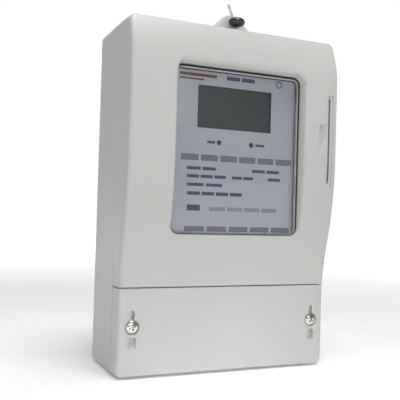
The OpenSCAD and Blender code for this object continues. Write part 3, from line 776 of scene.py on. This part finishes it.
# Cross recess: half the length and half the width of an arm, at the mouth and at the bottom
ARM_MOUTH = (2.75, 0.62)
ARM_BOTTOM = (1.3, 0.34)
# How far each screw is turned at rest, in degrees
CROSS_TURN = {"left": 18, "right": -31}


def subtract(obj, cutter):
    """Cuts the cutter out of the object and removes the cutter."""
    mod = obj.modifiers.new("cut", "BOOLEAN")
    mod.operation = "DIFFERENCE"
    mod.solver = "EXACT"
    mod.object = cutter
    dg = bpy.context.evaluated_depsgraph_get()
    mesh = bpy.data.meshes.new_from_object(obj.evaluated_get(dg))
    obj.modifiers.clear()
    obj.data = mesh
    bpy.data.objects.remove(cutter)
    return obj


def arm_loop(cutter, cx, turn, size, y):
    """A flat rectangle of one arm of the cross, turned about the screw's axis."""
    length, width = size
    points = []
    for u, w in ((-length, -width), (length, -width), (length, width), (-length, width)):
        points.append((cx + u * math.cos(turn) - w * math.sin(turn), y,
                       SEAL_Z + u * math.sin(turn) + w * math.cos(turn)))
    return cutter.loop(points)


for side, name in ((-1, "left"), (1, "right")):
    cx = side * SIDE_X
    apex = screw_low.y
    profile = [(HEAD_R * math.sin(t), apex + DOME * (1 - math.cos(t)))
               for t in (0.06, 0.2, 0.4, 0.6, 0.8, 1.0, 1.2, 1.35, 1.5)]
    profile += [(HEAD_R, apex + 2.1), (HEAD_R, SEAT - 0.4), (HEAD_R - 0.2, SEAT - 0.15),
                (SHANK_R, SEAT - 0.12), *WAIST]
    y = THREAD_START
    while y < THREAD_END:
        profile += [(SHANK_R, y), (SHANK_R, y + 0.18), (ROOT_R, y + 0.42)]
        y += THREAD_PITCH
    profile += TIP
    b = Builder()
    b.caps(lathe(profile, (cx, 0, SEAL_Z), n=64))
    screw = linked(b.build(f"seal_screw_{name}_head"))
    for k in range(2):
        turn = math.radians(CROSS_TURN[name]) + k * math.pi / 2
        cutter = Builder()
        mouth = arm_loop(cutter, cx, turn, ARM_MOUTH, apex - 1)
        bottom = arm_loop(cutter, cx, turn, ARM_BOTTOM, apex + DOME)
        cutter.bridge(mouth, bottom)
        cutter.f += [tuple(mouth), tuple(reversed(bottom))]
        subtract(screw, linked(cutter.build("cross_cutter")))
    tidy_faces(screw.data)
    shade(screw.data, 32)
    place(screw, "nickel", f"{name}_sealing_screw", [f"seal_screw_{name}"])

# ---------------------------------------------------------------- seal bead and wire
b = Builder()
bx, by = (bead_low.x + bead_high.x) / 2, (bead_low.y + bead_high.y) / 2
bz = (bead_low.z + bead_high.z) / 2
bead_half_h = (bead_high.z - bead_low.z) / 2
bead_r = (bead_high.x - bead_low.x) / 2
# An ellipse whose flanks are a little fuller than round
profile = []
for a in np.linspace(-math.pi / 2, math.pi / 2, 33):
    profile.append((bead_r * abs(math.cos(a)) ** 0.8 + 1e-3, bz + bead_half_h * math.sin(a)))
b.caps(lathe(profile, (bx, by, 0), axis="Z", n=72))
b.make("seal_bead_drop", "seal_plastic", "case", ["seal_bead"], smooth=60)


def strand(points, radius, twist, pitch, phase, n):
    """One strand of a twisted wire along a polyline, as a curve in n steps."""
    path = [Vector(p) for p in points]
    lengths = [0.0]
    for p, q in zip(path, path[1:]):
        lengths.append(lengths[-1] + (q - p).length)
    out = []
    for k in range(n + 1):
        s = lengths[-1] * k / n
        i = max(j for j in range(len(lengths) - 1) if lengths[j] <= s + 1e-9)
        t = (s - lengths[i]) / (lengths[i + 1] - lengths[i])
        p = path[i].lerp(path[i + 1], t)
        d = (path[i + 1] - path[i]).normalized()
        side = d.cross(Vector((0.2, 0.1, 1) if abs(d.z) < 0.9 else (1, 0.1, 0.2))).normalized()
        up = d.cross(side)
        a = 2 * math.pi * s / pitch + phase
        out.append(p + side * math.cos(a) * twist + up * math.sin(a) * twist)
    curve = bpy.data.curves.new("strand", "CURVE")
    curve.dimensions = "3D"
    curve.bevel_depth = radius * 0.001
    curve.bevel_resolution = 3
    curve.use_fill_caps = True
    spline = curve.splines.new("POLY")
    spline.points.add(len(out) - 1)
    for pt, p in zip(spline.points, out):
        pt.co = (*co(*p), 1)
    return curve


# The wire runs from the bead back through both lugs and round behind them, and its end stands up as a stub
HOLE_HALF = 2.5
WIRE_BACK = -38
TWIST_PITCH = 4.2
STRANDS = 3
bend = [(bx + HOLE_HALF * math.cos(a), WIRE_BACK + HOLE_HALF * math.sin(a), bz)
        for a in np.linspace(0, math.pi, 13)]
run = [(bx + HOLE_HALF, by + 1, bz), *bend, (bx - HOLE_HALF, by + 1, bz)]
stub = [(bx - 2.2, by, bz + 0.6), (bx - 3.7, by + 0.2, bz + 5), (bx - 6.0, by, bz + 10.2)]
strands = []
for points, thick, steps in ((run, 0.3, 150), (stub, 0.46, 60)):
    for k in range(STRANDS):
        curve = strand(points, thick, thick * 0.95, TWIST_PITCH, 2 * math.pi * k / STRANDS, steps)
        strands.append(linked(bpy.data.objects.new("strand", curve)))
dg = bpy.context.evaluated_depsgraph_get()
bm = bmesh.new()
for obj in strands:
    bm.from_mesh(bpy.data.meshes.new_from_object(obj.evaluated_get(dg)))
    bpy.data.objects.remove(obj)
mesh = bpy.data.meshes.new("seal_wire_strands")
bm.to_mesh(mesh)
bm.free()
shade(mesh)
place(bpy.data.objects.new("seal_wire_strands", mesh), "steel_wire", "case", ["seal_wire"])

# ---------------------------------------------------------------- printing on the nameplate, all plain bars
INK = plate_low.y - 0.08


class Ink(Builder):
    def bar(self, x0, x1, z, height):
        self.block(x0, INK, z - height / 2, x1, plate_low.y + 0.01, z + height / 2)

    def line(self, x0, x1, z, height, count):
        """A line cut into a few plain bars."""
        pitch = (x1 - x0) / (count - 0.12)
        for k in range(count):
            self.bar(x0 + k * pitch, x0 + (k + 0.88) * pitch, z, height)


# Each line: its left and right end, the height of its middle, its thickness, and the number of its bars
PRINT = {
    "nameplate_blocks": ("print_soft", [(-34.8, 41.5, 131.4, 3.8, 6), (-31.5, 41.0, 88.0, 3.6, 5)]),
    "nameplate_marks": ("print_navy", [
        (-5.9, 13.6, 181.2, 2.4, 2),
        (-17.8, -12.6, 141.1, 1.6, 1), (15.4, 21.6, 141.1, 1.6, 1),
        (-30.7, -11.5, 124.8, 1.9, 2), (13.3, 32.8, 124.8, 1.9, 2),
        (-30.6, -4.6, 120.0, 1.9, 3), (-0.5, 14.2, 120.0, 1.9, 2), (24.9, 33.7, 120.0, 1.9, 1),
        (-30.4, -7.2, 114.9, 1.9, 2),
        (-30.2, 6.7, 109.6, 2.1, 4),
        (-30.0, -21.5, 100.9, 3.6, 1)]),
    "nameplate_number_marks": ("print_grey", [(-15.5, 31.4, 100.4, 2.4, 4)]),
}
# A plain ring in the plate's head: its centre and its two radii
RING_AT = (31.2, 0, 180.9)
RING_OUT = 2.2
RING_IN = 1.6
for name, (colour, rows) in PRINT.items():
    ink = Ink()
    for row in rows:
        ink.line(*row)
    if name == "nameplate_marks":
        ring_profile = [(RING_OUT, INK), (RING_IN, INK), (RING_IN, INK + 0.04), (RING_OUT, INK + 0.04)]
        ring = [ink.loop(r) for r in lathe(ring_profile, RING_AT, n=40)]
        ink.chain(ring + ring[:1])
    ink.make(name, colour, "case")
# Two unbroken red bars at the head's left
ink = Ink()
ink.bar(-37.0, -12.6, 181.3, 1.8)
ink.bar(-37.0, -21.0, 178.75, 1.1)
ink.make("nameplate_head_marks", "print_red", "case")

# ---------------------------------------------------------------- stage, light and camera
FLOOR_GAP = 0.0004
bpy.ops.mesh.primitive_plane_add(size=12, location=(0, 0, cad_low.z - FLOOR_GAP))
floor = bpy.context.object
floor.name = "floor"
paint = surface("floor_paint", (0.9, 0.9, 0.9), 0.85, tint=0.01, patch=3, grain=200, relief=0.00001)
# The floor glows more and more with the distance from the meter, so that it fades into a white ground
nt = paint.node_tree
shader = nt.nodes["Principled BSDF"]
shader.inputs["Emission Color"].default_value = (1, 1, 1, 1)
reach = nt.nodes.new("ShaderNodeVectorMath")
reach.operation = "LENGTH"
nt.links.new(nt.nodes.new("ShaderNodeTexCoord").outputs["Object"], reach.inputs[0])
glow = nt.nodes.new("ShaderNodeMapRange")
glow.interpolation_type = "SMOOTHSTEP"
for socket, value in (("From Min", 0.25), ("From Max", 1.1), ("To Min", 0.12), ("To Max", 0.8)):
    glow.inputs[socket].default_value = value
nt.links.new(reach.outputs["Value"], glow.inputs["Value"])
nt.links.new(glow.outputs["Result"], shader.inputs["Emission Strength"])
floor.data.materials.append(paint)

scene = bpy.context.scene
scene.view_settings.view_transform = "Standard"
world = bpy.data.worlds.new("studio")
scene.world = world
world.use_nodes = True
nt = world.node_tree
background = nt.nodes["Background"]
tex = nt.nodes.new("ShaderNodeTexCoord")
split = nt.nodes.new("ShaderNodeSeparateXYZ")
nt.links.new(tex.outputs["Generated"], split.inputs["Vector"])
# Dim all round and white behind the meter, as seen from the camera
toward = nt.nodes.new("ShaderNodeMath")
toward.operation = "MULTIPLY_ADD"
toward.inputs[1].default_value = 0.75
nt.links.new(split.outputs["X"], toward.inputs[0])
nt.links.new(split.outputs["Y"], toward.inputs[2])
DIM = (0.17, 0.17, 0.17)
WHITE = (1, 1, 1)
nt.links.new(ramp(nt, toward.outputs[0], DIM, WHITE, 0.7, 0.98), background.inputs["Color"])
background.inputs["Strength"].default_value = 1.0


def light(name, at, to, size, power, size_y=None, spread_deg=180):
    """A rectangular lamp at one point, aimed at another."""
    data = bpy.data.lights.new(name, "AREA")
    data.energy = power
    data.size = size
    data.shape = "RECTANGLE"
    data.size_y = size_y or size
    data.spread = math.radians(spread_deg)
    obj = linked(bpy.data.objects.new(name, data))
    obj.location = at
    obj.rotation_euler = (Vector(to) - Vector(at)).to_track_quat("-Z", "Y").to_euler()


MIDDLE = (0, -0.05, 0.1)
light("top", (0.0, -0.35, 1.2), MIDDLE, 0.5, 10.6, 0.5)
light("key", (0.2, -1.25, 0.5), MIDDLE, 0.5, 1.3, 0.4)
light("edge", (-1.15, -0.62, 0.2), MIDDLE, 0.08, 2.2, 0.9)
# A narrow beam aimed below the meter, whose rim brightens the front towards the foot
light("kick", (-0.15, -0.9, 0.35), (0, -0.056, -0.1), 0.1, 0.055, spread_deg=20)

camera_data = bpy.data.cameras.new("camera")
camera_data.sensor_width = 36
camera_data.lens = 57.6
camera = linked(bpy.data.objects.new("camera", camera_data))
# The camera stands to the left of the meter at about half its height and is held a little askew
CAMERA_AT = (-0.1753, -0.4134, 0.0854)
yaw, pitch, roll = (math.radians(a) for a in (23.41, 1.21, 1.667))
camera.matrix_world = (Matrix.Translation(CAMERA_AT) @ Matrix.Rotation(-yaw, 4, "Z")
                       @ Matrix.Rotation(math.pi / 2 + pitch, 4, "X") @ Matrix.Rotation(roll, 4, "Z"))
scene.camera = camera
